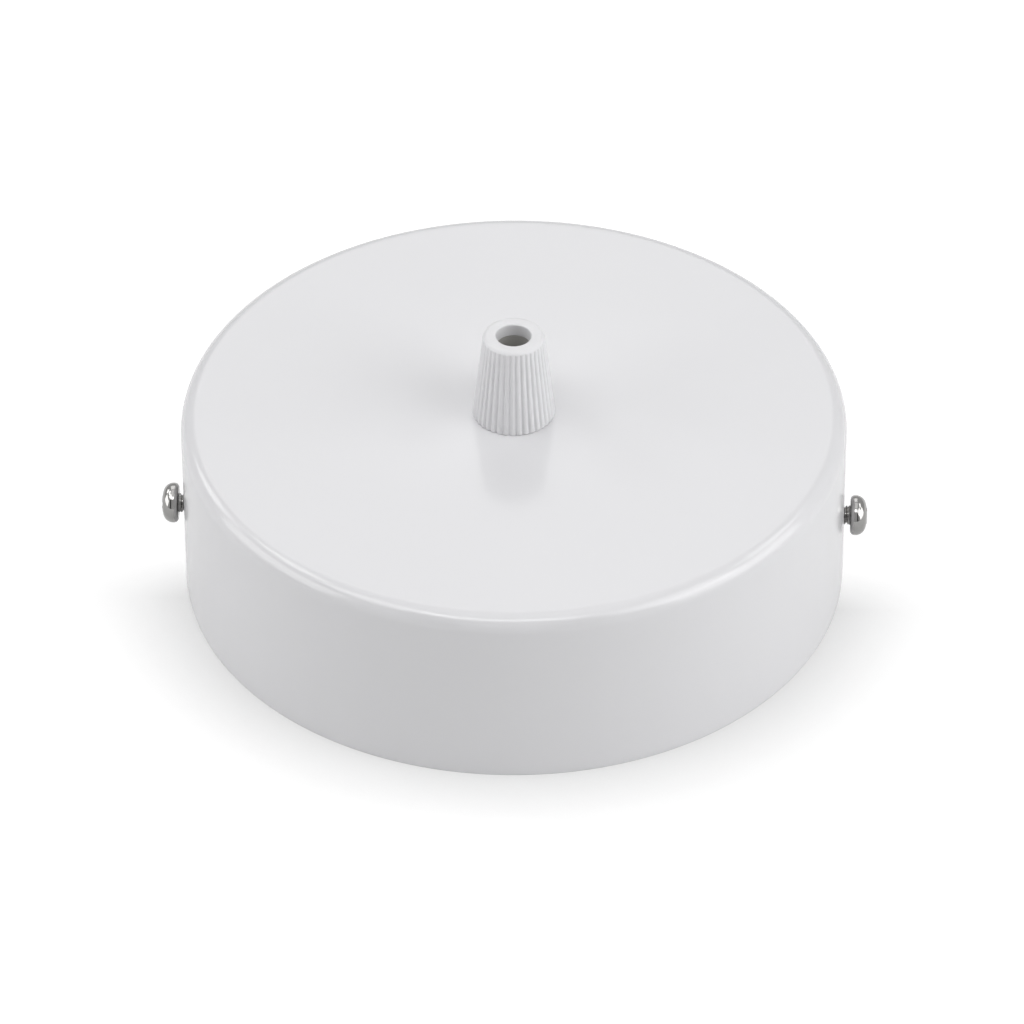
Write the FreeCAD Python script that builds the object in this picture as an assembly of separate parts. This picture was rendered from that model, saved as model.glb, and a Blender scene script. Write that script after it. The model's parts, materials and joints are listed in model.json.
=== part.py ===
"""Electrical ceiling rose for a pendant lamp, in millimetres.

It stands on its open rim, as it does on a bench. The origin is the centre of the rim plane, which is the
ceiling plane in use. +Z points to the cord outlet and +X along the two side screws.
"""
import FreeCAD, Part
import math
import os

from FreeCAD import Placement, Rotation, Vector

# Canopy, a deep-drawn cup of sheet steel
canopy_diameter = 120.0
canopy_height = 35.0
canopy_sheet = 1.0
canopy_bend_radius = 2.0

# Side screws, M3.5 pan heads backed out a little from the wall
side_screw_height = 12.5
side_screw_standoff = 1.15
side_screw_diameter = 3.5
side_screw_length = 8.0
side_head_diameter = 7.3
side_head_height = 3.1
side_head_rim_share = 0.25
side_hole_clearance = 0.3

# Proportions of a pan head, as shares of its diameter or its height
pan_crown_share = 1.07
pan_shoulder_share = 0.6
pan_rim_share = 0.1
recess_span_share = 0.57
recess_wing_share = 0.14
recess_depth_share = 0.65
recess_taper_share = 0.4

# Bracket, a bent strap with two feet, a raised bridge between them and an ear at each end
strap_width = 16.0
strap_sheet = 1.5
strap_bend_radius = 1.5
bridge_length = 43.0
bridge_rise = 4.0
ramp_length = 4.0
slot_spacing = 74.0
slot_length = 18.0
slot_width = 5.0
ear_clearance = 0.4
ear_rise = 6.5
ear_corner_radius = 4.0
collar_length = 1.5
collar_wall = 0.9
thread_clearance = 0.06

# Cord grip, a ribbed conical cap over a hollow nipple with an M10 thread
cap_base_diameter = 15.0
cap_top_diameter = 11.0
cap_height = 17.0
cap_edge_radius = 0.9
cap_edge_crease = 0.03
cap_seat_gap = 0.1
groove_count = 38
groove_depth = 0.32
groove_width = 0.66
groove_floor_share = 0.45
cord_bore = 6.3
lip_depth = 2.4
nipple_diameter = 10.0
nipple_chamfer = 0.6
nipple_tip_clearance = 0.5
nipple_tail = 2.0
nipple_clearance = 0.2
nipple_thread_clearance = 0.1
flange_diameter = 12.0
flange_height = 1.2
flange_clearance = 0.15

# Clamping jaw, held captive in the cap and squeezed by the mouth of the nipple
jaw_wall = 0.7
jaw_tip_wall = 0.35
jaw_length = 7.0
jaw_head_height = 1.6
jaw_snap = 0.4
jaw_clearance = 0.15
jaw_play = 0.1
jaw_slit = 0.8
jaw_slit_length = 4.6
ring_height = 1.1

# Lock washer and lock nut under the top of the canopy
washer_diameter = 18.0
washer_thickness = 0.9
washer_clearance = 0.2
tooth_count = 12
tooth_gap = 1.6
tooth_depth = 2.2
nut_across_flats = 14.0
nut_thickness = 3.5
nut_chamfer_deg = 30.0

# Terminal block with three poles, on the bridge of the bracket
block_x = 6.5
pole_names = ("live", "earth", "neutral")
pole_pitch = 9.0
pole_width = 7.0
pole_height = 8.0
pole_edge_radius = 1.0
web_depth = 6.4
chimney_diameter = 5.4
chimney_height = 12.5
chimney_clearance = 0.15
tube_diameter = 4.2
tube_bore = 2.7
tube_length = 14.0
tube_recess = 1.5
tube_height = 4.3
tube_clearance = 0.1
clamp_screw_diameter = 2.5
clamp_screw_length = 4.2
clamp_screw_lift = 0.1
clamp_end_distance = 2.6
clamp_head_diameter = 3.3
clamp_head_height = 1.8
clamp_slot_width = 0.5
clamp_slot_depth = 0.8
screw_tip_chamfer = 0.3

# Fixing screws of the terminal block
fixing_screw_diameter = 3.0
fixing_screw_length = 10.0
fixing_head_diameter = 5.2
fixing_head_height = 1.8
fixing_clearance = 0.1

# Earth clamp, beside the terminal block
earth_x = -13.0
earth_screw_diameter = 4.0
earth_screw_length = 6.0
earth_head_diameter = 7.0
earth_head_height = 2.6
earth_head_gap = 0.05
earth_washer_width = 8.0
earth_washer_thickness = 1.0
earth_washer_clearance = 0.2
earth_washer_corner = 1.0

# A cut runs this far past the face that it breaks, and points closer than the other value are one point
overcut = 1.0
same_point = 1e-7

# Levels and faces that more than one piece uses
canopy_radius = canopy_diameter / 2
canopy_inner_radius = canopy_radius - canopy_sheet
canopy_ceiling = canopy_height - canopy_sheet
bridge_top = bridge_rise + strap_sheet
ear_face = math.sqrt(canopy_inner_radius ** 2 - (strap_width / 2) ** 2) - ear_clearance
ear_inner_face = ear_face - strap_sheet
cap_bottom = canopy_height + cap_seat_gap
cap_top = cap_bottom + cap_height
cord_radius = cord_bore / 2
jaw_top = cap_top - lip_depth - jaw_play
jaw_head_bottom = jaw_top - jaw_head_height
jaw_bottom = jaw_top - jaw_length
jaw_neck_radius = cord_radius + jaw_wall
jaw_tip_radius = cord_radius + jaw_tip_wall
jaw_head_radius = jaw_neck_radius + jaw_snap
ring_top = jaw_head_bottom - jaw_play
ring_bottom = ring_top - ring_height
nipple_radius = nipple_diameter / 2
nipple_top = ring_bottom - nipple_tip_clearance
nipple_bore_radius = jaw_tip_radius + jaw_clearance
washer_bottom = canopy_ceiling - washer_thickness
nut_bottom = washer_bottom - nut_thickness
nipple_bottom = nut_bottom - nipple_tail
tube_z = bridge_top + tube_height
pole_depth = tube_length + 2 * tube_recess
chimney_spacing = tube_length - 2 * clamp_end_distance
pole_places = [block_x + pole_pitch * step for step in (-1, 0, 1)]
fixing_places = [block_x + pole_pitch * step for step in (-0.5, 0.5)]


def flat_point(point):
    """A point of the XZ plane."""
    return Vector(point[0], 0, point[1])


def polar(centre, radius, degrees):
    """The point at an angle on a circle in the XZ plane."""
    turn = math.radians(degrees)
    return (centre[0] + radius * math.cos(turn), centre[1] + radius * math.sin(turn))


def rounding(centre, radius, first, last):
    """An arc step of an outline: its middle and its end point."""
    return (polar(centre, radius, (first + last) / 2), polar(centre, radius, last))


def outline(start, *steps):
    """A closed face in the XZ plane. A step is a point, or the middle and the end of an arc."""
    edges = []
    here = start
    for step in steps + (start,):
        if isinstance(step[0], tuple):
            middle, end = step
            edges.append(Part.Arc(flat_point(here), flat_point(middle), flat_point(end)).toShape())
        else:
            end = step
            if math.dist(here, end) > same_point:
                edges.append(Part.LineSegment(flat_point(here), flat_point(end)).toShape())
        here = end
    return Part.Face(Part.Wire(edges))


def turned(start, *steps):
    """A solid turned about the Z axis."""
    return outline(start, *steps).revolve(Vector(0, 0, 0), Vector(0, 0, 1), 360)


def slab(face, depth):
    """A face of the XZ plane made a solid along Y, centred on Y = 0."""
    return face.translated(Vector(0, -depth / 2, 0)).extrude(Vector(0, depth, 0))


def rounded_plate(length, width, corner, bottom, top):
    """A plate with rounded corners, centred on the Z axis."""
    x = length / 2 - corner
    y = width / 2 - corner
    face = outline(
        (x + corner, -y), (x + corner, y), rounding((x, y), corner, 0, 90),
        (-x, y + corner), rounding((-x, y), corner, 90, 180),
        (-x - corner, -y), rounding((-x, -y), corner, 180, 270),
        (x, -y - corner), rounding((x, -y), corner, 270, 360),
    )
    face.rotate(Vector(0, 0, 0), Vector(1, 0, 0), 90)
    return face.translated(Vector(0, 0, bottom)).extrude(Vector(0, 0, top - bottom))


def drill(radius, bottom, top, x=0.0, y=0.0):
    """A cylinder along Z, as a drill or a pin."""
    return Part.makeCylinder(radius, top - bottom, Vector(x, y, bottom))


def along_x(radius, first, last, height):
    """A cylinder along X at a height above the rim."""
    return Part.makeCylinder(radius, last - first, Vector(first, 0, height), Vector(1, 0, 0))


def canopy():
    """The cup: plain side wall, rounded edge, flat top with the outlet hole, a hole each side for a screw."""
    bend_r = canopy_inner_radius - canopy_bend_radius
    bend_z = canopy_ceiling - canopy_bend_radius
    cup = turned(
        (0, canopy_height), (bend_r, canopy_height),
        rounding((bend_r, bend_z), canopy_bend_radius + canopy_sheet, 90, 0),
        (canopy_radius, 0), (canopy_inner_radius, 0), (canopy_inner_radius, bend_z),
        rounding((bend_r, bend_z), canopy_bend_radius, 0, 90), (0, canopy_ceiling),
    )
    outlet = drill(nipple_radius + nipple_clearance, canopy_ceiling - overcut, canopy_height + overcut)
    reach = canopy_radius + overcut
    screw_holes = along_x(side_screw_diameter / 2 + side_hole_clearance, -reach, reach, side_screw_height)
    return cup.cut([outlet, screw_holes])


def pan_screw(diameter, length, head_diameter, head_height, rim_share=pan_rim_share):
    """A pan-head screw with a cross recess. Its head stands on Z = 0 and its shank points down."""
    radius = diameter / 2
    head_radius = head_diameter / 2
    crown = pan_crown_share * head_diameter
    shoulder = pan_shoulder_share * head_height
    rim = rim_share * head_height
    crown_centre = (0, head_height - crown)
    shoulder_r = head_radius - shoulder
    shoulder_z = crown_centre[1] + math.sqrt((crown - shoulder) ** 2 - shoulder_r ** 2)
    meet = math.degrees(math.atan2(shoulder_z - crown_centre[1], shoulder_r))
    screw = turned(
        (0, head_height), rounding(crown_centre, crown, 90, meet),
        rounding((shoulder_r, shoulder_z), shoulder, meet, 0),
        (head_radius, rim), rounding((head_radius - rim, rim), rim, 0, -90),
        (radius, 0), (radius, screw_tip_chamfer - length), (radius - screw_tip_chamfer, -length), (0, -length),
    )
    span = recess_span_share * head_diameter
    wing = recess_wing_share * head_diameter
    depth = recess_depth_share * head_height
    taper = Part.makeCone(recess_taper_share * span / 2, span / 2, depth, Vector(0, 0, head_height - depth))
    wing_a = Part.makeBox(span, wing, depth, Vector(-span / 2, -wing / 2, head_height - depth))
    wing_b = Part.makeBox(wing, span, depth, Vector(-wing / 2, -span / 2, head_height - depth))
    return screw.cut(taper.common(wing_a.fuse(wing_b)))


def side_screw(side):
    """One side screw, its head outside the wall. The side is -1 on the left and 1 on the right."""
    screw = pan_screw(
        side_screw_diameter, side_screw_length, side_head_diameter, side_head_height, side_head_rim_share,
    )
    seat = Vector(side * (canopy_radius + side_screw_standoff), 0, side_screw_height)
    screw.Placement = Placement(seat, Rotation(Vector(0, 1, 0), 90 * side))
    return screw


def strip_side(path, offset, radius):
    """One side of a bent strip, as outline steps. Its bends share the centre of the bend on the path."""
    steps = []
    for before, corner, after in zip(path, path[1:], path[2:]):
        heading_in = math.degrees(math.atan2(corner[1] - before[1], corner[0] - before[0]))
        heading_out = math.degrees(math.atan2(after[1] - corner[1], after[0] - corner[0]))
        turn = (heading_out - heading_in + 180) % 360 - 180
        hand = math.copysign(1, turn)
        setback = radius * math.tan(math.radians(abs(turn) / 2))
        centre = polar(polar(corner, setback, heading_in + 180), radius, heading_in + 90 * hand)
        first = heading_in - 90 * hand
        bend = radius - hand * offset
        steps.append(polar(centre, bend, first))
        steps.append(rounding(centre, bend, first, first + turn))
    last_heading = math.degrees(math.atan2(path[-1][1] - path[-2][1], path[-1][0] - path[-2][0]))
    steps.append(polar(path[-1], offset, last_heading + 90))
    return steps


def bent_strip(path, sheet, radius):
    """The section of a sheet bent along a path down its middle."""
    there = strip_side(path, sheet / 2, radius)
    back = strip_side(path[::-1], sheet / 2, radius)
    return outline(back[-1], *there, polar_end(path, sheet), *back)


def polar_end(path, sheet):
    """The corner at the end of a strip, where its outline turns back."""
    heading = math.degrees(math.atan2(path[-1][1] - path[-2][1], path[-1][0] - path[-2][0]))
    return polar(path[-1], sheet / 2, heading - 90)


def mounting_bracket():
    """The strap: feet on the ceiling plane, bridge for the terminal block, ears with drawn and tapped collars."""
    foot_z = strap_sheet / 2
    bridge_z = foot_z + bridge_rise
    ear_x = ear_face - strap_sheet / 2
    ear_top = side_screw_height + ear_rise
    bridge_x = bridge_length / 2
    ramp_x = bridge_x + ramp_length
    right = [(bridge_x, bridge_z), (ramp_x, foot_z), (ear_x, foot_z), (ear_x, ear_top)]
    left = [(-x, z) for x, z in reversed(right)]
    strap = slab(bent_strip(left + right, strap_sheet, strap_bend_radius + strap_sheet / 2), strap_width)

    corner_y = strap_width / 2 - ear_corner_radius
    corner_z = ear_top - ear_corner_radius
    ear_shape = outline(
        (strap_width / 2, -overcut), (strap_width / 2, corner_z),
        rounding((corner_y, corner_z), ear_corner_radius, 0, 90),
        (-corner_y, ear_top), rounding((-corner_y, corner_z), ear_corner_radius, 90, 180),
        (-strap_width / 2, -overcut),
    )
    ear_shape = slab(ear_shape, canopy_diameter)
    ear_shape.rotate(Vector(0, 0, 0), Vector(0, 0, 1), 90)
    strap = strap.common(ear_shape)

    tapped = side_screw_diameter / 2 + thread_clearance
    for side in (-1, 1):
        first, last = sorted((side * (ear_inner_face - collar_length), side * (ear_face - strap_sheet / 2)))
        strap = strap.fuse(along_x(tapped + collar_wall, first, last, side_screw_height))
    cuts = [along_x(tapped, -canopy_radius, canopy_radius, side_screw_height)]
    for side in (-1, 1):
        slot = rounded_plate(slot_length, slot_width, slot_width / 2, -overcut, strap_sheet + overcut)
        cuts.append(slot.translated(Vector(side * slot_spacing / 2, 0, 0)))
    bridge_under = bridge_rise - overcut
    bridge_over = bridge_top + overcut
    for x in fixing_places:
        cuts.append(drill(fixing_screw_diameter / 2 + thread_clearance, bridge_under, bridge_over, x))
    cuts.append(drill(earth_screw_diameter / 2 + thread_clearance, bridge_under, bridge_over, earth_x))
    return strap.cut(cuts).removeSplitter()


def cord_grip_cap():
    """The ribbed cone. Inside: cord bore, recess for the jaw's head, snap ring, thread, recess for the flange."""
    base = cap_base_diameter / 2
    top = cap_top_diameter / 2
    lean = math.degrees(math.atan2(base - top, cap_height))
    edge_r = top - cap_edge_radius * math.tan(math.radians(45 - lean / 2)) + cap_edge_crease
    edge_z = cap_top - cap_edge_radius
    past_top = cap_top + overcut
    past_side = base + overcut
    edge_end = polar((edge_r, edge_z), cap_edge_radius, lean)
    edge = turned(
        (edge_r, cap_top), rounding((edge_r, edge_z), cap_edge_radius, 90, lean),
        (past_side, edge_end[1]), (past_side, past_top), (edge_r, past_top),
    )
    neck = jaw_neck_radius + jaw_clearance
    cavity = jaw_head_radius + jaw_clearance
    cavity_top = jaw_top + jaw_play
    thread = nipple_radius + nipple_thread_clearance
    recess = flange_diameter / 2 + flange_clearance
    recess_top = canopy_height + flange_height + flange_clearance
    past_bottom = cap_bottom - overcut
    inside = turned(
        (0, past_top), (cord_radius, past_top), (cord_radius, cavity_top), (cavity, cavity_top),
        (cavity, ring_top), (neck, ring_top), (neck, ring_bottom), (thread, ring_bottom),
        (thread, recess_top), (recess, recess_top), (recess, past_bottom), (0, past_bottom),
    )
    return ribbed_cone(base, top).cut([edge, inside])


def ribbed_cone(base, top):
    """A cone of flat-topped ribs. Its grooves narrow with it, so that ribs and grooves keep their shares."""
    mouth = math.degrees(groove_width / base)
    floor = mouth * groove_floor_share
    section = []
    for step in range(groove_count):
        middle = 360 * step / groove_count
        section.append(polar((0, 0), base, middle - mouth / 2))
        section.append(polar((0, 0), base - groove_depth, middle - floor / 2))
        section.append(polar((0, 0), base - groove_depth, middle + floor / 2))
        section.append(polar((0, 0), base, middle + mouth / 2))
    shrink = top / base
    low = [Vector(x, y, cap_bottom) for x, y in section]
    high = [Vector(shrink * x, shrink * y, cap_top) for x, y in section]
    faces = [Part.Face(Part.makePolygon(ring + ring[:1])) for ring in (low, high)]
    for a, b, c, d in zip(low, low[1:] + low[:1], high[1:] + high[:1], high):
        faces.append(Part.Face(Part.makePolygon([a, b, c, d, a])))
    return Part.Solid(Part.Shell(faces))


def cord_grip_jaw():
    """The split collet: a head that snaps into the cap, and tapered fingers that reach into the nipple."""
    jaw = turned(
        (cord_radius, jaw_top), (jaw_head_radius, jaw_top), (jaw_head_radius, jaw_head_bottom),
        (jaw_neck_radius, jaw_head_bottom), (jaw_neck_radius, nipple_top), (jaw_tip_radius, jaw_bottom),
        (cord_radius, jaw_bottom),
    )
    slit = Part.makeBox(
        2 * canopy_radius, jaw_slit, jaw_slit_length + overcut,
        Vector(-canopy_radius, -jaw_slit / 2, jaw_bottom - overcut),
    )
    return jaw.cut([slit, slit.rotated(Vector(0, 0, 0), Vector(0, 0, 1), 90)])


def cord_grip_nipple():
    """The hollow nipple: flange on the canopy, thread above and below, tapered mouth for the jaw."""
    neck = nipple_radius - nipple_chamfer
    mouth = jaw_neck_radius + jaw_clearance
    flange = flange_diameter / 2
    flange_top = canopy_height + flange_height
    return turned(
        (mouth, nipple_top), (neck, nipple_top), (nipple_radius, nipple_top - nipple_chamfer),
        (nipple_radius, flange_top), (flange, flange_top), (flange, canopy_height), (nipple_radius, canopy_height),
        (nipple_radius, nipple_bottom + nipple_chamfer), (neck, nipple_bottom),
        (nipple_bore_radius, nipple_bottom), (nipple_bore_radius, jaw_bottom),
    )


def nipple_lock_washer():
    """A washer with teeth all round its edge."""
    bore = nipple_radius + washer_clearance
    edge = washer_diameter / 2
    ring = turned((bore, washer_bottom), (edge, washer_bottom), (edge, canopy_ceiling), (bore, canopy_ceiling))
    gap = Part.makeBox(
        tooth_depth + overcut, tooth_gap, washer_thickness + 2 * overcut,
        Vector(edge - tooth_depth, -tooth_gap / 2, washer_bottom - overcut),
    )
    axis = Vector(0, 0, 1)
    return ring.cut([gap.rotated(Vector(0, 0, 0), axis, 360 * step / tooth_count) for step in range(tooth_count)])


def nipple_lock_nut():
    """A thin hexagon nut with its corners chamfered on both faces."""
    flat = nut_across_flats / 2
    corner = flat / math.cos(math.radians(30))
    chamfer = (corner - flat) * math.tan(math.radians(nut_chamfer_deg))
    points = [Vector(*polar((0, 0), corner, 60 * step), nut_bottom) for step in range(7)]
    prism = Part.Face(Part.makePolygon(points)).extrude(Vector(0, 0, nut_thickness))
    bore = nipple_radius + nipple_thread_clearance
    blank = turned(
        (bore, nut_bottom), (flat, nut_bottom), (corner, nut_bottom + chamfer),
        (corner, washer_bottom - chamfer), (flat, washer_bottom), (bore, washer_bottom),
    )
    return prism.common(blank)


def terminal_housing():
    """The moulded block: a barrel for each pole, webs between them, a chimney over each clamping screw."""
    edge = pole_edge_radius
    half = pole_width / 2
    top = bridge_top + pole_height
    section = outline(
        (half, bridge_top), (half, top - edge), rounding((half - edge, top - edge), edge, 0, 90),
        (edge - half, top), rounding((edge - half, top - edge), edge, 90, 180), (-half, bridge_top),
    )
    barrel = slab(section, pole_depth)
    web_length = pole_places[-1] - pole_places[0]
    web = Part.makeBox(web_length, web_depth, pole_height, Vector(pole_places[0], -web_depth / 2, bridge_top))
    body = web.fuse([barrel.translated(Vector(x, 0, 0)) for x in pole_places])
    chimneys = []
    cuts = []
    for x in pole_places:
        start = Vector(x, -pole_depth / 2 - overcut, tube_z)
        cuts.append(Part.makeCylinder(
            tube_diameter / 2 + tube_clearance, pole_depth + 2 * overcut, start, Vector(0, 1, 0)))
        for y in (-chimney_spacing / 2, chimney_spacing / 2):
            rim = bridge_top + chimney_height
            chimneys.append(drill(chimney_diameter / 2, tube_z, rim, x, y))
            cuts.append(drill(clamp_head_diameter / 2 + chimney_clearance, tube_z, rim + overcut, x, y))
    for x in fixing_places:
        cuts.append(drill(
            fixing_screw_diameter / 2 + fixing_clearance, bridge_top - overcut, top + overcut, x))
    return body.fuse(chimneys).cut(cuts).removeSplitter()


def terminal_tube(x):
    """One brass tube with two tapped holes for the clamping screws."""
    start = Vector(x, -tube_length / 2, tube_z)
    tube = Part.makeCylinder(tube_diameter / 2, tube_length, start, Vector(0, 1, 0))
    bore = Part.makeCylinder(tube_bore / 2, tube_length, start, Vector(0, 1, 0))
    tapped = clamp_screw_diameter / 2 + thread_clearance
    holes = [drill(tapped, tube_z, tube_z + tube_diameter, x, y) for y in (-chimney_spacing / 2, chimney_spacing / 2)]
    return tube.cut([bore] + holes)


def clamping_screw(x, y):
    """One slotted clamping screw, backed out so that its tip just clears the wire's bore."""
    radius = clamp_screw_diameter / 2
    tip = tube_z + tube_bore / 2 + clamp_screw_lift
    head = tip + clamp_screw_length
    top = head + clamp_head_height
    head_radius = clamp_head_diameter / 2
    screw = turned(
        (0, top), (head_radius, top), (head_radius, head), (radius, head), (radius, tip + screw_tip_chamfer),
        (radius - screw_tip_chamfer, tip), (0, tip),
    )
    slot = Part.makeBox(
        clamp_head_diameter + 2 * overcut, clamp_slot_width, clamp_slot_depth + overcut,
        Vector(-head_radius - overcut, -clamp_slot_width / 2, top - clamp_slot_depth),
    )
    return screw.cut(slot).translated(Vector(x, y, 0))


def terminal_fixing_screws():
    """The two screws that hold the block on the bridge."""
    screw = pan_screw(fixing_screw_diameter, fixing_screw_length, fixing_head_diameter, fixing_head_height)
    seat = bridge_top + pole_height
    return Part.makeCompound([screw.translated(Vector(x, 0, seat)) for x in fixing_places])


def earth_washer():
    """The square clamping washer of the earth screw."""
    plate = rounded_plate(
        earth_washer_width, earth_washer_width, earth_washer_corner, bridge_top, bridge_top + earth_washer_thickness)
    hole = drill(earth_screw_diameter / 2 + earth_washer_clearance, bridge_top - overcut, canopy_height)
    return plate.cut(hole).translated(Vector(earth_x, 0, 0))


def earth_screw():
    """The earth screw, tapped into the bridge."""
    screw = pan_screw(earth_screw_diameter, earth_screw_length, earth_head_diameter, earth_head_height)
    return screw.translated(Vector(earth_x, 0, bridge_top + earth_washer_thickness + earth_head_gap))


pieces = {
    "canopy": canopy(),
    "mounting_bracket": mounting_bracket(),
    "side_screw_left": side_screw(-1),
    "side_screw_right": side_screw(1),
    "cord_grip_cap": cord_grip_cap(),
    "cord_grip_jaw": cord_grip_jaw(),
    "cord_grip_nipple": cord_grip_nipple(),
    "nipple_lock_washer": nipple_lock_washer(),
    "nipple_lock_nut": nipple_lock_nut(),
    "terminal_housing": terminal_housing(),
    "terminal_fixing_screws": terminal_fixing_screws(),
    "earth_washer": earth_washer(),
    "earth_screw": earth_screw(),
}
for pole, place in zip(pole_names, pole_places):
    pieces["terminal_tube_" + pole] = terminal_tube(place)
    for end, place_y in (("front", -chimney_spacing / 2), ("back", chimney_spacing / 2)):
        pieces["terminal_screw_" + pole + "_" + end] = clamping_screw(place, place_y)

os.makedirs("parts", exist_ok=True)
for name, shape in pieces.items():
    shape.exportStep("parts/" + name + ".step")
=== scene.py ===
import json
import math

import bmesh
import bpy
from mathutils import Matrix, Vector


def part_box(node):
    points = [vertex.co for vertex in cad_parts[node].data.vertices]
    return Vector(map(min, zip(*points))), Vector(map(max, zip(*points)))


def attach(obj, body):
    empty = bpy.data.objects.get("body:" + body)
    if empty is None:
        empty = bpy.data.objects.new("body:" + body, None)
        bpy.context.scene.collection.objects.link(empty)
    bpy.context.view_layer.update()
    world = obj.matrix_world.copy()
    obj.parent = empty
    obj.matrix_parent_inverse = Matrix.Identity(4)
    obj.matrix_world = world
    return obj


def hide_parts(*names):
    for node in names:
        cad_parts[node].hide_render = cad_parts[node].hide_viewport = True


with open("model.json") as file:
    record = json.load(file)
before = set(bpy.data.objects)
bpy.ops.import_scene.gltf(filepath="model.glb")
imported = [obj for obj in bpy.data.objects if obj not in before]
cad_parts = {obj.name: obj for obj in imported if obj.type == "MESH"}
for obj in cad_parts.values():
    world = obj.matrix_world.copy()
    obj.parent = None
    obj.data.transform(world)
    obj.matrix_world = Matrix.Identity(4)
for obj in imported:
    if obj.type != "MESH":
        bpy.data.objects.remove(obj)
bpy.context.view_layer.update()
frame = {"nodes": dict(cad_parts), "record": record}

# Ceiling rose, standing on its open rim. Sizes are in millimetres until a piece is made.
MM = 0.001


def box_of(node):
    """The low and the high corner of a solid, in millimetres."""
    return [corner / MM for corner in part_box(node)]


canopy_radius, canopy_height = box_of("canopy")[1].xz
canopy_sheet = 1.0
canopy_bend = 3.0
canopy_columns = 480
canopy_rows_below = 5
canopy_rows_above = 6
outlet_radius = 5.2
outlet_round = 0.2
rim_round = 0.16

side_low, side_high = box_of("side_screw_right")
side_screw_height = (side_low.z + side_high.z) / 2
side_screw_diameter = 3.5
side_screw_pitch = 0.6
side_head_diameter = side_high.z - side_low.z
side_head_height = 3.1
side_head_rim_share = 0.25
side_head_face = side_high.x - side_head_height
side_recess_turn = 20
side_hole_radius = 2.05
side_hole_round = 0.22
side_hole_cells = 12

cap_low, cap_high = box_of("cord_grip_cap")
cap_base = 7.5
cap_top = 5.5
cap_edge_round = 0.9
cap_foot_inset = 0.12
cap_foot_height = 0.1
cap_side_inset = 0.02
cap_side_rows = 10
cap_bore = 3.15
cap_bore_round = 0.25
cap_bore_rows = 4
cap_thread_radius = 5.1
rib_count = 38
rib_columns = 16
groove_depth = 0.31
groove_sharpness = 1.7
groove_run_out = 1.5

jaw_low, jaw_high = box_of("cord_grip_jaw")
jaw_play = 0.1
jaw_clearance = 0.15
jaw_head_height = 1.6
jaw_neck_radius = 3.85
snap_ring_height = 1.1

nipple_low, nipple_high = box_of("cord_grip_nipple")
nipple_radius = 5.0
nipple_pitch = 1.0
nipple_thread_depth = 0.5 * nipple_pitch
nipple_thread_fade = 0.7 * nipple_pitch
nipple_chamfer = 0.6
nipple_bore = 3.65
nipple_columns = 96
nipple_rows_above = 110
nipple_rows_below = 82
flange_radius = 6.0
flange_height = 1.2
flange_round = 0.2
flange_clearance = 0.15

washer_low, washer_high = box_of("nipple_lock_washer")
washer_bore = 5.2
washer_ring = 6.9
washer_sheet = 0.6
washer_columns = 120
tooth_sheet = 0.5
tooth_width = 2.4
tooth_root = 0.3
tooth_twist = 8.0
tooth_steps = 6
tooth_count = 12

screw_columns = 72
screw_rows_per_turn = 14
screw_thread_share = 0.61
screw_fade_share = 0.6
shank_fillet = ((0.25, 0.0), (0.05, -0.06), (0.0, -0.2))
shank_tip = 0.3
pan_crown_share = 1.07
pan_shoulder_share = 0.6
pan_steps = 14
recess_span_share = 0.57
recess_wing_share = 0.14
recess_depth_share = 0.65
recess_mouth_share = 1.06
recess_tip_share = 0.42

bridge_top = 5.5
earth_x = -13.0
earth_washer_top = bridge_top + 1.05
earth_screw_diameter = 4.0
earth_screw_length = 6.0
earth_screw_pitch = 0.7
earth_head_diameter = 7.0
earth_head_height = 2.6

block_seat = 13.5
fixing_places = (2.0, 11.0)
fixing_turn_per_mm = 9
fixing_screw_diameter = 3.0
fixing_screw_length = 10.0
fixing_screw_pitch = 0.5
fixing_head_diameter = 5.2
fixing_head_height = 1.8

clamp_screw_diameter = 2.5
clamp_screw_pitch = 0.45
clamp_head_height = 1.8
clamp_head_round = 0.15
clamp_head_foot = 0.1
clamp_slot_length = 5.0
clamp_slot_width = 0.5
clamp_slot_depth = 0.8
clamp_slot_over = 1.0
clamp_turns = ((14, "front"), (-31, "back"))
clamp_turn_per_mm = 3


class Signal:
    """An output in a node sheet. Arithmetic on signals adds Math nodes to that sheet."""

    def __init__(self, sheet, socket):
        self.sheet = sheet
        self.socket = socket

    def out(self, name):
        return Signal(self.sheet, self.socket.node.outputs[name])

    def math(self, operation, *others):
        return self.sheet.math(operation, self, *others)

    def clamped(self):
        return self.math("MINIMUM", 1.0).math("MAXIMUM", 0.0)

    def __add__(self, other):
        return self.sheet.math("ADD", self, other)

    __radd__ = __add__

    def __sub__(self, other):
        return self.sheet.math("SUBTRACT", self, other)

    def __rsub__(self, other):
        return self.sheet.math("SUBTRACT", other, self)

    def __mul__(self, other):
        return self.sheet.math("MULTIPLY", self, other)

    __rmul__ = __mul__

    def __truediv__(self, other):
        return self.sheet.math("DIVIDE", self, other)


class Sheet:
    """A node tree, and the one way to add a node to it."""

    def __init__(self, tree):
        self.tree = tree

    def add(self, kind, settings=None, sockets=None, output=0):
        node = self.tree.nodes.new(kind)
        for name, value in (settings or {}).items():
            setattr(node, name, value)
        for name, value in (sockets or {}).items():
            if isinstance(value, Signal):
                self.tree.links.new(value.socket, node.inputs[name])
            else:
                node.inputs[name].default_value = value
        return Signal(self, node.outputs[output]) if node.outputs else None

    def math(self, operation, *values):
        return self.add("ShaderNodeMath", {"operation": operation}, dict(enumerate(values)))


# Finishes

def finish_sheet(name):
    material = bpy.data.materials.new(name)
    material.use_nodes = True
    material.node_tree.nodes.clear()
    return material, Sheet(material.node_tree)


def place_of(sheet):
    return sheet.add("ShaderNodeTexCoord", output="Object")


def stretched(sheet, place, scale):
    return sheet.add("ShaderNodeMapping", None, {"Vector": place, "Scale": scale})


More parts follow.
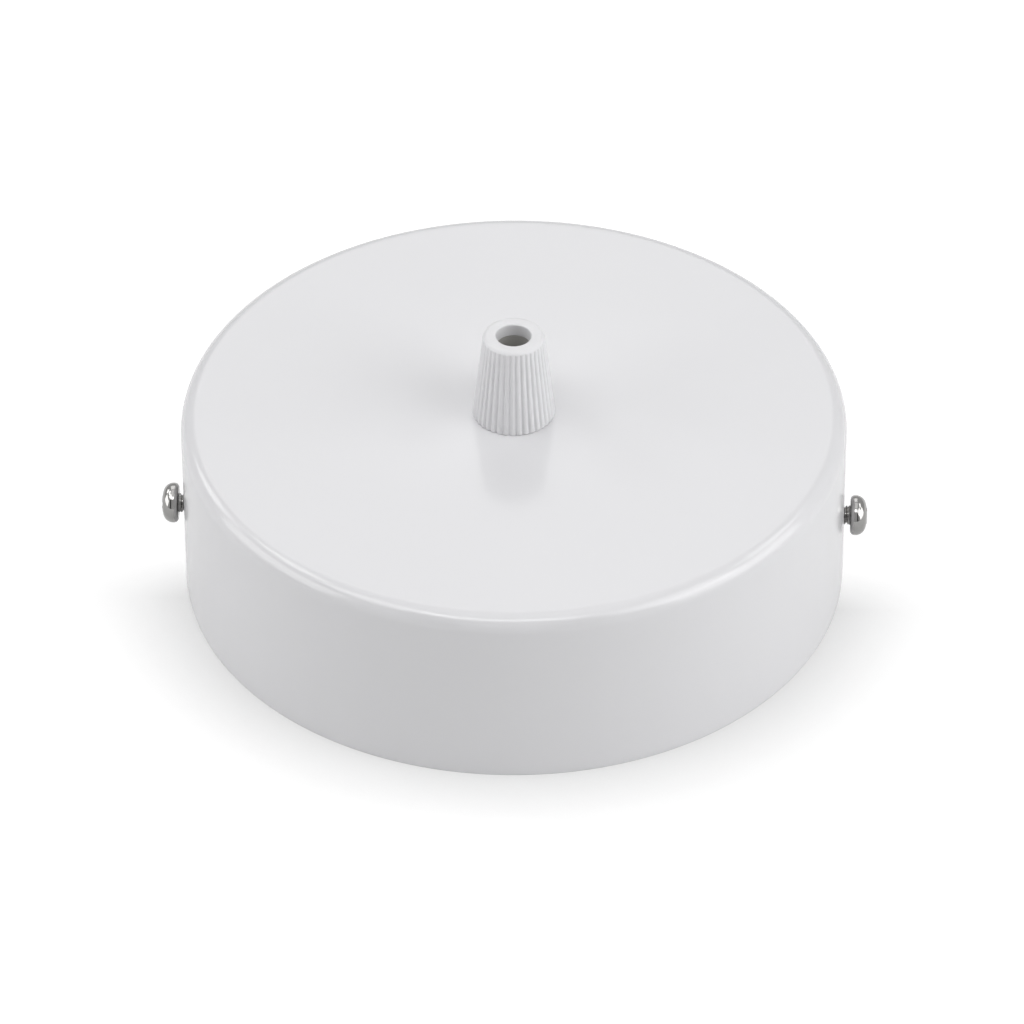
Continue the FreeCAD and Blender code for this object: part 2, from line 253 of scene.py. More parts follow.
def grain(sheet, place, scale, detail=2.0, rough=0.5):
    return sheet.add("ShaderNodeTexNoise", {"noise_dimensions": "3D"},
                     {"Vector": place, "Scale": scale, "Detail": detail, "Roughness": rough}, "Fac")


def blend_colour(sheet, share, first, second):
    return sheet.add("ShaderNodeMix", {"data_type": "RGBA"},
                     {0: share, 6: (*first, 1.0), 7: (*second, 1.0)}, 2)


def relief(sheet, height, depth):
    return sheet.add("ShaderNodeBump", None, {"Strength": 1.0, "Distance": depth, "Height": height}, "Normal")


def coat_with(sheet, sockets):
    shader = sheet.add("ShaderNodeBsdfPrincipled", None, sockets)
    sheet.add("ShaderNodeOutputMaterial", None, {"Surface": shader})


def white_enamel():
    """Gloss stoving enamel: a faint orange peel, a slow drift in gloss and shade."""
    material, sheet = finish_sheet("white_enamel")
    place = place_of(sheet)
    peel = grain(sheet, place, 380.0, 2.0)
    drift = grain(sheet, place, 24.0, 3.0)
    mist = grain(sheet, place, 3200.0, 1.0)
    coat_with(sheet, {
        "Base Color": blend_colour(sheet, drift, (0.717, 0.716, 0.732), (0.742, 0.741, 0.757)),
        "Roughness": 0.12 + 0.05 * drift + 0.02 * mist,
        "IOR": 1.56,
        "Normal": relief(sheet, 0.85 * peel + 0.15 * mist, 4e-6),
    })
    return material


def satin_plastic():
    """Moulded white plastic with a fine eroded texture."""
    material, sheet = finish_sheet("white_satin_plastic")
    place = place_of(sheet)
    spark = grain(sheet, place, 5200.0, 2.0)
    drift = grain(sheet, place, 160.0, 3.0)
    coat_with(sheet, {
        "Base Color": blend_colour(sheet, drift, (0.757, 0.756, 0.77), (0.792, 0.791, 0.805)),
        "Roughness": 0.36 + 0.12 * spark,
        "IOR": 1.48,
        "Normal": relief(sheet, spark, 6e-6),
    })
    return material


def bright_plate():
    """Polished nickel plate: cloudy gloss and fine polishing marks."""
    material, sheet = finish_sheet("bright_plate")
    place = place_of(sheet)
    cloud = grain(sheet, place, 900.0, 3.0)
    marks = grain(sheet, stretched(sheet, place, (9.0, 1.0, 1.0)), 3000.0, 2.0)
    coat_with(sheet, {
        "Base Color": blend_colour(sheet, cloud, (0.345, 0.341, 0.334), (0.415, 0.41, 0.402)),
        "Metallic": 1.0,
        "Roughness": 0.07 + 0.06 * cloud,
        "Normal": relief(sheet, marks, 1.5e-6),
    })
    return material


def zinc_plate():
    """Passivated zinc: grey-blue with warm patches, satin, with short drawing marks."""
    material, sheet = finish_sheet("zinc_plate")
    place = place_of(sheet)
    patch = grain(sheet, place, 140.0, 4.0, 0.6)
    streak = grain(sheet, stretched(sheet, place, (0.12, 1.0, 1.0)), 4200.0, 2.0)
    coat_with(sheet, {
        "Base Color": blend_colour(sheet, patch, (0.56, 0.585, 0.62), (0.66, 0.65, 0.615)),
        "Metallic": 1.0,
        "Roughness": 0.26 + 0.16 * patch + 0.06 * streak,
        "Normal": relief(sheet, streak, 4e-6),
    })
    return material


def moulded_plastic(name, first, second):
    """Natural plastic of the hidden pieces: satin, a little uneven in shade."""
    material, sheet = finish_sheet(name)
    place = place_of(sheet)
    cloud = grain(sheet, place, 220.0, 3.0)
    surface = grain(sheet, place, 3600.0, 2.0)
    coat_with(sheet, {
        "Base Color": blend_colour(sheet, cloud, first, second),
        "Roughness": 0.38 + 0.14 * surface,
        "IOR": 1.5,
        "Normal": relief(sheet, surface, 5e-6),
    })
    return material


def drawn_brass():
    """Drawn brass tube, a little tarnished."""
    material, sheet = finish_sheet("brass")
    place = place_of(sheet)
    tarnish = grain(sheet, place, 320.0, 4.0, 0.6)
    rings = grain(sheet, stretched(sheet, place, (1.0, 8.0, 1.0)), 2600.0, 2.0)
    coat_with(sheet, {
        "Base Color": blend_colour(sheet, tarnish, (0.62, 0.43, 0.17), (0.80, 0.60, 0.27)),
        "Metallic": 1.0,
        "Roughness": 0.22 + 0.18 * tarnish,
        "Normal": relief(sheet, rings, 3e-6),
    })
    return material


finishes = {
    "white_enamel": white_enamel(),
    "white_satin_plastic": satin_plastic(),
    "bright_plate": bright_plate(),
    "zinc_plate": zinc_plate(),
    "natural_nylon": moulded_plastic("natural_nylon", (0.74, 0.725, 0.67), (0.80, 0.79, 0.745)),
    # grey_nylon dresses the hidden jaw in dark grey. This is painted shade: it stands for the shade deep
    # inside the cord bore, not for the colour of the nylon.
    "grey_nylon": moulded_plastic("grey_nylon", (0.42, 0.41, 0.39), (0.48, 0.47, 0.45)),
    "block_plastic": moulded_plastic("block_plastic", (0.755, 0.755, 0.73), (0.81, 0.81, 0.79)),
    "brass": drawn_brass(),
}


# Growing rules for threads, ribs and teeth

def growing_rule(name, inputs):
    """A geometry node tree with named inputs, its sheet and its input signals."""
    tree = bpy.data.node_groups.new(name, "GeometryNodeTree")
    kinds = {"Blank": "NodeSocketGeometry", "Finish": "NodeSocketMaterial", "Tooth": "NodeSocketObject",
             "Count": "NodeSocketInt"}
    for label in inputs:
        tree.interface.new_socket(label, in_out="INPUT", socket_type=kinds.get(label, "NodeSocketFloat"))
    tree.interface.new_socket("Piece", in_out="OUTPUT", socket_type="NodeSocketGeometry")
    sheet = Sheet(tree)
    start = sheet.add("NodeGroupInput")
    return tree, sheet, {label: start.out(label) for label in inputs}


def close_rule(sheet, geometry, finish):
    real = sheet.add("GeometryNodeRealizeInstances", None, {"Geometry": geometry})
    painted = sheet.add("GeometryNodeSetMaterial", None, {"Geometry": real, "Material": finish})
    sheet.add("NodeGroupOutput", None, {"Piece": painted})


def polar_place(sheet):
    """Distance from the axis, angle as a share of a turn, height, and the place across the axis."""
    place = sheet.add("GeometryNodeInputPosition")
    parts = sheet.add("ShaderNodeSeparateXYZ", None, {0: place})
    x, y, z = parts.out("X"), parts.out("Y"), parts.out("Z")
    radius = (x * x + y * y).math("SQRT")
    return radius, y.math("ARCTAN2", x) / (2 * math.pi), z, (x, y)


def set_radius(sheet, blank, radius, wanted, x, y, z):
    scale = wanted / radius.math("MAXIMUM", 1e-6)
    place = sheet.add("ShaderNodeCombineXYZ", None, {"X": x * scale, "Y": y * scale, "Z": z})
    return sheet.add("GeometryNodeSetPosition", None, {"Geometry": blank, "Position": place})


def thread_rule():
    """A right-hand thread: points at the crest radius sink into a helical groove that fades at both ends."""
    labels = ["Blank", "Crest Radius", "Depth", "Pitch", "Start", "End", "Fade", "Finish"]
    tree, sheet, size = growing_rule("screw_thread", labels)
    radius, turn, z, (x, y) = polar_place(sheet)
    flank_slope = 1.36
    crest_share = 0.14
    on_crest = (radius - size["Crest Radius"]).math("ABSOLUTE").math("LESS_THAN", 1e-3)
    phase = (z / size["Pitch"] - turn).math("FRACT")
    flank = ((2 * phase - 1).math("ABSOLUTE") * flank_slope - crest_share).clamped()
    run_in = ((z - size["Start"]) / size["Fade"]).clamped()
    run_out = ((size["End"] - z) / size["Fade"]).clamped()
    wanted = radius - size["Depth"] * flank * on_crest * run_in * run_out
    close_rule(sheet, set_radius(sheet, size["Blank"], radius, wanted, x, y, z), size["Finish"])
    return tree


def rib_rule():
    """Straight ribs on a cone: points outside the groove floor move in to it. Grooves run out at the top."""
    labels = ["Blank", "Base Radius", "Top Radius", "Base Height", "Top Height", "Count", "Depth",
              "Sharpness", "Run Out", "Finish"]
    tree, sheet, size = growing_rule("cone_ribs", labels)
    radius, turn, z, (x, y) = polar_place(sheet)
    share = (z - size["Base Height"]) / (size["Top Height"] - size["Base Height"])
    cone = size["Base Radius"] + (size["Top Radius"] - size["Base Radius"]) * share
    run_out = ((size["Top Height"] - z) / size["Run Out"]).math("MINIMUM", 1.0)
    wave = (turn * size["Count"] * (2 * math.pi)).math("COSINE") * 0.5 + 0.5
    groove = wave.math("POWER", size["Sharpness"]) * (size["Depth"] / size["Base Radius"]) * run_out
    wanted = radius.math("MINIMUM", cone * (1 - groove))
    close_rule(sheet, set_radius(sheet, size["Blank"], radius, wanted, x, y, z), size["Finish"])
    return tree


def tooth_rule():
    """Teeth set round the edge of a ring, each turned to face outwards."""
    labels = ["Blank", "Tooth", "Count", "Radius", "Height", "Finish"]
    tree, sheet, size = growing_rule("washer_teeth", labels)
    circle = sheet.add("GeometryNodeMeshCircle", None, {"Vertices": size["Count"], "Radius": size["Radius"]})
    lift = sheet.add("ShaderNodeCombineXYZ", None, {"Z": size["Height"]})
    points = sheet.add("GeometryNodeSetPosition", None, {"Geometry": circle, "Offset": lift})
    turn = polar_place(sheet)[1]
    facing = sheet.add("ShaderNodeCombineXYZ", None, {"Z": turn * (2 * math.pi)})
    shape = sheet.add("GeometryNodeObjectInfo", None, {"Object": size["Tooth"]}, "Geometry")
    teeth = sheet.add("GeometryNodeInstanceOnPoints", None,
                      {"Points": points, "Instance": shape, "Rotation": facing})
    joined = sheet.add("GeometryNodeJoinGeometry", None, {"Geometry": teeth})
    sheet.tree.links.new(size["Blank"].socket, joined.socket.node.inputs["Geometry"])
    close_rule(sheet, joined, size["Finish"])
    return tree


# Blanks

def arc(centre, radius, first, last, steps):
    """Points of an arc in the (radius, height) plane, angles in degrees."""
    points = []
    for step in range(steps + 1):
        turn = math.radians(first + (last - first) * step / steps)
        points.append((centre[0] + radius * math.cos(turn), centre[1] + radius * math.sin(turn)))
    return points


def climb(radius_from, z_from, radius_to, z_to, steps):
    """Points of a straight run in the (radius, height) plane, without its first point."""
    shares = [step / steps for step in range(1, steps + 1)]
    return [(radius_from + (radius_to - radius_from) * s, z_from + (z_to - z_from) * s) for s in shares]


def ring_of(bm, radius, z, columns):
    turns = [2 * math.pi * step / columns for step in range(columns)]
    return [bm.verts.new((radius * math.cos(t), radius * math.sin(t), z)) for t in turns]


def skin(bm, rows):
    for low, high in zip(rows, rows[1:]):
        for i in range(len(low)):
            j = (i + 1) % len(low)
            bm.faces.new((low[i], low[j], high[j], high[i]))


def turned(profile, columns, ring=True):
    """A blank turned about Z. A ring's profile closes on itself, any other starts and ends on the axis."""
    bm = bmesh.new()
    rows = []
    for radius, z in profile:
        if radius < 1e-9:
            rows.append([bm.verts.new((0.0, 0.0, z))] * columns)
        else:
            rows.append(ring_of(bm, radius, z, columns))
    followers = rows[1:] + rows[:1] if ring else rows[1:]
    for low, high in zip(rows, followers):
        for i in range(columns):
            j = (i + 1) % columns
            corners = []
            for corner in (low[i], low[j], high[j], high[i]):
                if corner not in corners:
                    corners.append(corner)
            bm.faces.new(corners)
    bmesh.ops.recalc_face_normals(bm, faces=bm.faces)
    return bm


def as_object(name, bm):
    mesh = bpy.data.meshes.new(name)
    bm.to_mesh(mesh)
    bm.free()
    thing = bpy.data.objects.new(name, mesh)
    bpy.context.scene.collection.objects.link(thing)
    return thing


def lofted(name, rows):
    """A closed block through rows of corners, with a face on its first and its last row."""
    bm = bmesh.new()
    rows = [[bm.verts.new(corner) for corner in row] for row in rows]
    skin(bm, rows)
    bm.faces.new(rows[0])
    bm.faces.new(rows[-1])
    bmesh.ops.recalc_face_normals(bm, faces=bm.faces)
    return as_object(name, bm)


def grow(thing, tree, values):
    """Adds a growing rule to a blank, its inputs set by name."""
    rule = thing.modifiers.new("rule", "NODES")
    rule.node_group = tree
    for item in tree.interface.items_tree:
        if item.in_out == "INPUT" and item.name in values:
            rule[item.identifier] = values[item.name]


def cut(thing, cutter):
    tool = thing.modifiers.new("cut", "BOOLEAN")
    tool.operation = "DIFFERENCE"
    tool.solver = "EXACT"
    tool.object = cutter


def settle(thing, place=Matrix.Identity(4), scrap=()):
    """Makes what the modifiers give a plain mesh in metres, in its place, and clears modifiers and scrap."""
    bpy.context.view_layer.update()
    depsgraph = bpy.context.evaluated_depsgraph_get()
    mesh = bpy.data.meshes.new_from_object(thing.evaluated_get(depsgraph))
    thing.modifiers.clear()
    thing.data = mesh
    mesh.transform(Matrix.Scale(MM, 4) @ place)
    for other in scrap:
        bpy.data.objects.remove(other)
    return thing


def dress(thing, slot, body, *nodes, crease=35.0):
    """Smooth faces with sharp corners, the finish of its slot, its body and the nodes that it stands for."""
    thing.data.materials.clear()
    thing.data.materials.append(finishes[slot])
    thing.data.polygons.foreach_set("material_index", [0] * len(thing.data.polygons))
    thing.data.shade_smooth()
    thing.data.set_sharp_from_angle(angle=math.radians(crease))
    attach(thing, body)
    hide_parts(*nodes)


# Canopy

def canopy_wall(bm, radius, heights):
    """A grid on the wall, open round each screw hole, and the edge of each opening in order round it."""
    columns = canopy_columns
    half = side_hole_cells // 2
    rows = [ring_of(bm, radius, z, columns) for z in heights]
    first = heights.index(side_screw_height) - half
    last = first + side_hole_cells
    centres = (0, columns // 2)
    for k, (low, high) in enumerate(zip(rows, rows[1:])):
        for i in range(columns):
            near = any((i - centre + half) % columns < side_hole_cells for centre in centres)
            if near and first <= k < last:
                continue
            j = (i + 1) % columns
            bm.faces.new((low[i], low[j], high[j], high[i]))
    spots = [(row, half) for row in range(first + half, last)]
    spots += [(last, column) for column in range(half, -half, -1)]
    spots += [(row, -half) for row in range(last, first, -1)]
    spots += [(first, column) for column in range(-half, half)]
    spots += [(row, half) for row in range(first, first + half)]
    edges = [[rows[row][(centre + column) % columns] for row, column in spots] for centre in centres]
    return rows, edges


def hole_rings(bm, edge, side, radius, steps):
    """Rings of faces from the square edge of an opening to the round hole. A step is a hole radius, the depth
    below the wall and the share of the square that is left."""
    rows = [edge]
    for hole, depth, square in steps:
        fresh = []
        for corner in edge:
            across = Vector((corner.co.y, corner.co.z - side_screw_height))
            spot = (across.normalized() * hole).lerp(across, square)
            x = math.sqrt((radius - depth) ** 2 - spot.x ** 2)
            fresh.append(bm.verts.new((side * x, spot.x, spot.y + side_screw_height)))
        rows.append(fresh)
    skin(bm, rows)
    return rows[-1]


def make_canopy():
    """The cup: wall with a round hole for each screw, rounded edge, flat top with the outlet, rounded rim."""
    bm = bmesh.new()
    inner = canopy_radius - canopy_sheet
    ceiling = canopy_height - canopy_sheet
    bend_r = canopy_radius - canopy_bend
    bend_z = canopy_height - canopy_bend
    cell = 2 * math.pi * canopy_radius / canopy_columns
    half = side_hole_cells // 2
    below = side_screw_height - half * cell
    above = side_screw_height + half * cell
    below_rise = below - rim_round
    above_rise = bend_z - cell / 2 - above
    heights = [rim_round + below_rise * step / canopy_rows_below for step in range(canopy_rows_below)]
    heights += [side_screw_height + cell * step for step in range(-half, half + 1)]
    heights += [above + above_rise * step / canopy_rows_above for step in range(1, canopy_rows_above + 1)]
    outside, outer_edges = canopy_wall(bm, canopy_radius, heights)
    inside, inner_edges = canopy_wall(bm, inner, heights)
    soft = side_hole_round
    quarter = arc((2 * soft, 0.0), soft, 90, 180, 5)[1:]
    spread = [(side_hole_radius + soft, 0.0, share) for share in (0.75, 0.5, 0.28, 0.12, 0.0)]
    lip = [(side_hole_radius + r - soft, soft - z, 0.0) for r, z in quarter]
    back = [(side_hole_radius, 0.0, share) for share in (0.6, 0.25, 0.0)]
    for edge_out, edge_in, side in zip(outer_edges, inner_edges, (1, -1)):
        mouth = hole_rings(bm, edge_out, side, canopy_radius, spread + lip)
        far = hole_rings(bm, edge_in, side, inner, back)
        skin(bm, [mouth, far])
    top_rings = (bend_r - 0.4, bend_r - 2.0, 45.0, 30.0, 18.0, 10.0, outlet_radius + 0.3)
    under_rings = (outlet_radius, 10.0, 30.0, bend_r - 1.0)
    crown = arc((bend_r, bend_z), canopy_bend, 0, 90, 18)
    crown += [(r, canopy_height) for r in top_rings]
    crown += arc((outlet_radius + outlet_round, canopy_height - outlet_round), outlet_round, 90, 180, 4)
    crown += [(r, ceiling) for r in under_rings]
    crown += arc((bend_r, bend_z), canopy_bend - canopy_sheet, 90, 0, 12)
    skin(bm, [outside[-1]] + [ring_of(bm, r, z, canopy_columns) for r, z in crown] + [inside[-1]])
    foot = arc((inner + rim_round, rim_round), rim_round, 180, 270, 5)[1:]
    foot += arc((canopy_radius - rim_round, rim_round), rim_round, 270, 360, 5)[:-1]
    skin(bm, [inside[0]] + [ring_of(bm, r, z, canopy_columns) for r, z in foot] + [outside[0]])
    bmesh.ops.recalc_face_normals(bm, faces=bm.faces)
    dress(settle(as_object("canopy_cup", bm)), "white_enamel", "rose", "canopy", crease=40.0)


# Cord grip

def make_cap():
    """The ribbed cone: rounded top edge, cord bore, jaw recess, snap ring, thread bore and flange recess."""
    low, high = cap_low.z, cap_high.z
    lean = math.degrees(math.atan2(cap_base - cap_top, high - low))
    edge_r = cap_top - cap_edge_round * math.tan(math.radians(45 - lean / 2))
    edge = arc((edge_r, high - cap_edge_round), cap_edge_round, lean, 90, 18)
    side_foot = (cap_base - cap_side_inset, low + cap_foot_height)
    cavity_top = jaw_high.z + jaw_play
    cavity = jaw_high.x + jaw_clearance
    ring_top = jaw_high.z - jaw_head_height - jaw_play
    ring_bottom = ring_top - snap_ring_height
    neck = jaw_neck_radius + jaw_clearance
    recess = flange_radius + flange_clearance
    recess_top = canopy_height + flange_height + flange_clearance
    profile = [(cap_base - cap_foot_inset, low), side_foot]
    profile += climb(*side_foot, *edge[0], cap_side_rows) + edge[1:]
    profile += arc((cap_bore + cap_bore_round, high - cap_bore_round), cap_bore_round, 90, 180, 6)
    profile += climb(cap_bore, high - cap_bore_round, cap_bore, cavity_top, cap_bore_rows)
    profile += [(cavity, cavity_top), (cavity, ring_top), (neck, ring_top), (neck, ring_bottom)]
    profile += [(cap_thread_radius, ring_bottom), (cap_thread_radius, recess_top)]
    profile += [(recess, recess_top), (recess, low)]
    cap = as_object("cord_grip_cap_ribbed", turned(profile, rib_count * rib_columns))
    grow(cap, rib_rule(), {"Base Radius": cap_base, "Top Radius": cap_top, "Base Height": low,
                           "Top Height": high, "Count": rib_count, "Depth": groove_depth,
                           "Sharpness": groove_sharpness, "Run Out": groove_run_out,
                           "Finish": finishes["white_satin_plastic"]})
    dress(settle(cap), "white_satin_plastic", "grip_cap", "cord_grip_cap", crease=50.0)


def make_nipple():
    """The hollow nipple with its flange, its tapered mouth and its thread above and below."""
    low, high = nipple_low.z, nipple_high.z
    collar_low, collar_high = canopy_height, canopy_height + flange_height
    mouth = jaw_neck_radius + jaw_clearance
    neck = nipple_radius - nipple_chamfer
    edge = flange_radius - flange_round
    profile = [(mouth, high), (neck, high), (nipple_radius, high - nipple_chamfer)]
    profile += climb(nipple_radius, high - nipple_chamfer, nipple_radius, collar_high, nipple_rows_above)
    profile += arc((edge, collar_high - flange_round), flange_round, 90, 0, 4)
    profile += arc((edge, collar_low + flange_round), flange_round, 0, -90, 4) + [(nipple_radius, collar_low)]
    profile += climb(nipple_radius, collar_low, nipple_radius, low + nipple_chamfer, nipple_rows_below)
    profile += [(neck, low), (nipple_bore, low), (nipple_bore, jaw_low.z)]
    nipple = as_object("cord_grip_nipple_threaded", turned(profile, nipple_columns))
    for start, end in ((collar_high, high), (low, collar_low)):
        grow(nipple, thread, {"Crest Radius": nipple_radius, "Depth": nipple_thread_depth,
                              "Pitch": nipple_pitch, "Start": start, "End": end,
                              "Fade": nipple_thread_fade, "Finish": finishes["natural_nylon"]})
    dress(settle(nipple), "natural_nylon", "rose", "cord_grip_nipple", crease=45.0)


def make_lock_washer():
    """A spring-steel washer whose teeth are each twisted a little out of its plane."""
    middle = (washer_low.z + washer_high.z) / 2
    half = washer_sheet / 2
    eased = washer_bore + 0.3 * half
    ring = [(washer_bore, middle - 0.7 * half), (eased, middle - half), (washer_ring, middle - half),
            (washer_ring, middle + half), (eased, middle + half), (washer_bore, middle + 0.7 * half)]
    washer = as_object("nipple_lock_washer_toothed", turned(ring, washer_columns))
    reach = washer_high.x - washer_ring + tooth_root
    y, z = tooth_width / 2, tooth_sheet / 2
    rows = []
    for step in range(tooth_steps + 1):
        x = reach * step / tooth_steps
        twist = Matrix.Rotation(math.radians(tooth_twist) * step / tooth_steps, 3, "X")
        corners = ((x, -y, -z), (x, y, -z), (x, y, z), (x, -y, z))
        rows.append([twist @ Vector(corner) for corner in corners])
    tooth = lofted("washer_tooth", rows)
    grow(washer, tooth_rule(), {"Tooth": tooth, "Count": tooth_count, "Radius": washer_ring - tooth_root,
                                "Height": middle, "Finish": finishes["zinc_plate"]})
    dress(settle(washer, scrap=[tooth]), "zinc_plate", "rose", "nipple_lock_washer")


# Screws

def cross_cutter(span, wing, depth, top):
    """The tapered cross that a driver fits."""
    rows = []
    for share, z in ((recess_mouth_share, top + 0.1 * depth), (recess_tip_share, top - depth)):
        s = span / 2 * share
        w = wing / 2 * (0.75 + 0.25 * share)
        outline = []
        for turn in range(4):
            spin = Matrix.Rotation(turn * math.pi / 2, 2)
            outline += [spin @ Vector(point) for point in ((s, -w), (s, w), (w, w))]
        rows.append([(x, y, z) for x, y in outline])
    return lofted("recess_cutter", rows)


def slot_cutter(length, width, bottom, top):
    bm = bmesh.new()
    bmesh.ops.create_cube(bm, size=1.0)
    bmesh.ops.scale(bm, vec=(length, width, top - bottom), verts=bm.verts)
    bmesh.ops.translate(bm, vec=(0, 0, (top + bottom) / 2), verts=bm.verts)
    return as_object("slot_cutter", bm)


def shank(diameter, length, pitch):
    """The shank of a blank, from the fillet under its head to its tip."""
    radius = diameter / 2
    run = length - shank_tip
    points = [(radius + out, z) for out, z in shank_fillet]
    points += climb(*points[-1], radius, -run, round(run / pitch * screw_rows_per_turn))
    return points + [(radius - shank_tip, -length), (0.5 * radius, -length), (0.0, -length)]


def pan_head(diameter, height, rim_share):
    """The outline of a pan head, from the middle of its crown to its seat."""
    radius = diameter / 2
    crown = pan_crown_share * diameter
    shoulder = pan_shoulder_share * height
    rim = rim_share * height
    shoulder_r = radius - shoulder
    shoulder_z = height - crown + math.sqrt((crown - shoulder) ** 2 - shoulder_r ** 2)
    meet = math.degrees(math.atan2(shoulder_z - height + crown, shoulder_r))
    outline = [(0.0, height)] + arc((0.0, height - crown), crown, 90, meet, pan_steps)[1:]
    outline += arc((shoulder_r, shoulder_z), shoulder, meet, 0, pan_steps)[1:]
    return outline + arc((radius - rim, rim), rim, 0, -90, 5) + [(0.8 * radius, 0.0)]


def cheese_head(diameter, height):
    """The outline of a slotted cheese head."""
    radius = diameter / 2
    edge = clamp_head_round
    outline = [(0.0, height), (0.5 * radius, height)]
    outline += arc((radius - edge, height - edge), edge, 90, 0, 4)
    return outline + [(radius, clamp_head_foot), (radius - clamp_head_foot, 0.0)]


def cut_screw(name, head, cutter, diameter, length, pitch, slot, place):
    """A screw as a plain mesh: head, recess or slot, rolled thread. It stands on Z = 0, its shank down."""
    blank = turned(head + shank(diameter, length, pitch), screw_columns, ring=False)
    screw = as_object(name, blank)
    cut(screw, cutter)
    grow(screw, thread, {"Crest Radius": diameter / 2, "Depth": screw_thread_share * pitch, "Pitch": pitch,
                         "Start": -length, "End": shank_fillet[-1][1], "Fade": screw_fade_share * pitch,
                         "Finish": finishes[slot]})
    return settle(screw, place, [cutter])


def pan_screw(name, diameter, length, head_diameter, head_height, pitch, slot, place, rim_share=0.1):
    span = recess_span_share * head_diameter
    wing = recess_wing_share * head_diameter
    cutter = cross_cutter(span, wing, recess_depth_share * head_height, head_height)
    head = pan_head(head_diameter, head_height, rim_share)
    return cut_screw(name, head, cutter, diameter, length, pitch, slot, place)


def turn_about(axis, degrees):
    return Matrix.Rotation(math.radians(degrees), 4, axis)


def make_side_screws():
    """The two bright screws, heads outwards."""
    for side, label in ((-1, "left"), (1, "right")):
        seat = Matrix.Translation((side * side_head_face, 0, side_screw_height))
        place = seat @ Matrix.Rotation(side * math.pi / 2, 4, "Y") @ turn_about("Z", side_recess_turn)
        screw = pan_screw("side_screw_" + label + "_threaded", side_screw_diameter,
                          side_head_face - side_low.x, side_head_diameter, side_head_height,
                          side_screw_pitch, "bright_plate", place, side_head_rim_share)
        dress(screw, "bright_plate", label + "_screw", "side_screw_" + label)


def make_earth_screw():
    place = Matrix.Translation((earth_x, 0, earth_washer_top))
    screw = pan_screw("earth_screw_threaded", earth_screw_diameter, earth_screw_length, earth_head_diameter,
                      earth_head_height, earth_screw_pitch, "zinc_plate", place)
    dress(screw, "zinc_plate", "earth_clamp", "earth_screw")


def make_fixing_screws():
    """The two screws of the terminal block, one piece as they share one node."""
    bm = bmesh.new()
    for x in fixing_places:
        place = Matrix.Translation((x, 0, block_seat)) @ turn_about("Z", fixing_turn_per_mm * x)
        screw = pan_screw("fixing_screw", fixing_screw_diameter, fixing_screw_length, fixing_head_diameter,
                          fixing_head_height, fixing_screw_pitch, "zinc_plate", place)
        bm.from_mesh(screw.data)
        bpy.data.objects.remove(screw)
    dress(as_object("terminal_fixing_screws_threaded", bm), "zinc_plate", "rose", "terminal_fixing_screws")


def make_clamp_screws():
    """The six slotted screws of the terminal tubes, their slots left at different angles."""
    slot_bottom = clamp_head_height - clamp_slot_depth
    slot_top = clamp_head_height + clamp_slot_over
    for pole in ("live", "earth", "neutral"):
        for turn, end in clamp_turns:
            node = "terminal_screw_" + pole + "_" + end
            low, high = box_of(node)
            middle = (low + high) / 2
            seat_height = high.z - clamp_head_height
            seat = Matrix.Translation((middle.x, middle.y, seat_height))
            place = seat @ turn_about("Z", turn + clamp_turn_per_mm * middle.x)
            head = cheese_head(high.x - low.x, clamp_head_height)
            cutter = slot_cutter(clamp_slot_length, clamp_slot_width, slot_bottom, slot_top)
            screw = cut_screw(node + "_threaded", head, cutter, clamp_screw_diameter, seat_height - low.z,
                              clamp_screw_pitch, "zinc_plate", place)
            dress(screw, "zinc_plate", pole + "_" + end + "_clamp", node)


thread = thread_rule()
make_canopy()
make_cap()
make_nipple()
make_lock_washer()
make_side_screws()
make_earth_screw()
make_fixing_screws()
make_clamp_screws()

# The other pieces keep their solids and get their finish
for part in frame["record"]["subparts"]:
    solid = frame["nodes"][part["node"]]
    for place in solid.material_slots:
        place.material = finishes[part["material_slot"]]


# Table, light and camera. The sizes of the painted shade on the table are in millimetres, the rest in metres.

floor_half_side = 4.0
floor_drop = 0.00002
floor_white = 0.86
floor_seen_white = 0.35
floor_lift = 0.76
floor_in_gloss = 0.3
painted_shade_start = 12.0
painted_shade_reach = 24.0
painted_shade_depth = 0.82
room_fill = 0.03
room_in_gloss = 0.6
gap_place = 0.37
gap_width = 0.13
gap_top = 0.8
gap_blur = 0.08
softbox_distance = 1.3
picture_side = 1024
sensor_side = 36.0


def seen_rays(sheet):
    """What is seen straight on, and in gloss or glass. Both are 0 for the light that falls on things."""
    path = sheet.add("ShaderNodeLightPath")
    mirrored = path.out("Is Glossy Ray").math("MAXIMUM", path.out("Is Transmission Ray"))
    return path.out("Is Camera Ray"), mirrored


def make_floor():
    """A white table. What is seen of it is lifted to white, less so close in front of the object, where the
    lift carries a painted shade.
    """
    bm = bmesh.new()
    bmesh.ops.create_grid(bm, x_segments=1, y_segments=1, size=floor_half_side)
    floor = as_object("floor", bm)
    floor.location.z = -floor_drop
    material, sheet = finish_sheet("white_table")
    straight, mirrored = seen_rays(sheet)
    seen = straight.math("MAXIMUM", mirrored * floor_in_gloss)
    y = sheet.add("ShaderNodeSeparateXYZ", None, {0: place_of(sheet)}, "Y")
    front = (y / (-painted_shade_start * MM)).clamped()
    reach = {"Distance": painted_shade_reach * MM}
    painted_shade_occlusion = sheet.add("ShaderNodeAmbientOcclusion", {"samples": 16}, reach, "AO")
    # Painted shade: occlusion, masked to the front, dims the glow that lifts the floor, in place of a cast
    # shadow.
    lift = (1 - front * (1 - painted_shade_occlusion) * painted_shade_depth) * floor_lift
    white = floor_white - seen * (floor_white - floor_seen_white)
    matt = sheet.add("ShaderNodeBsdfDiffuse", None, {"Color": white})
    glow = sheet.add("ShaderNodeEmission", None, {"Color": seen * lift, "Strength": 1.0})
    both = sheet.add("ShaderNodeAddShader", None, {0: matt, 1: glow})
    sheet.add("ShaderNodeOutputMaterial", None, {"Surface": both})
    floor.data.materials.append(material)


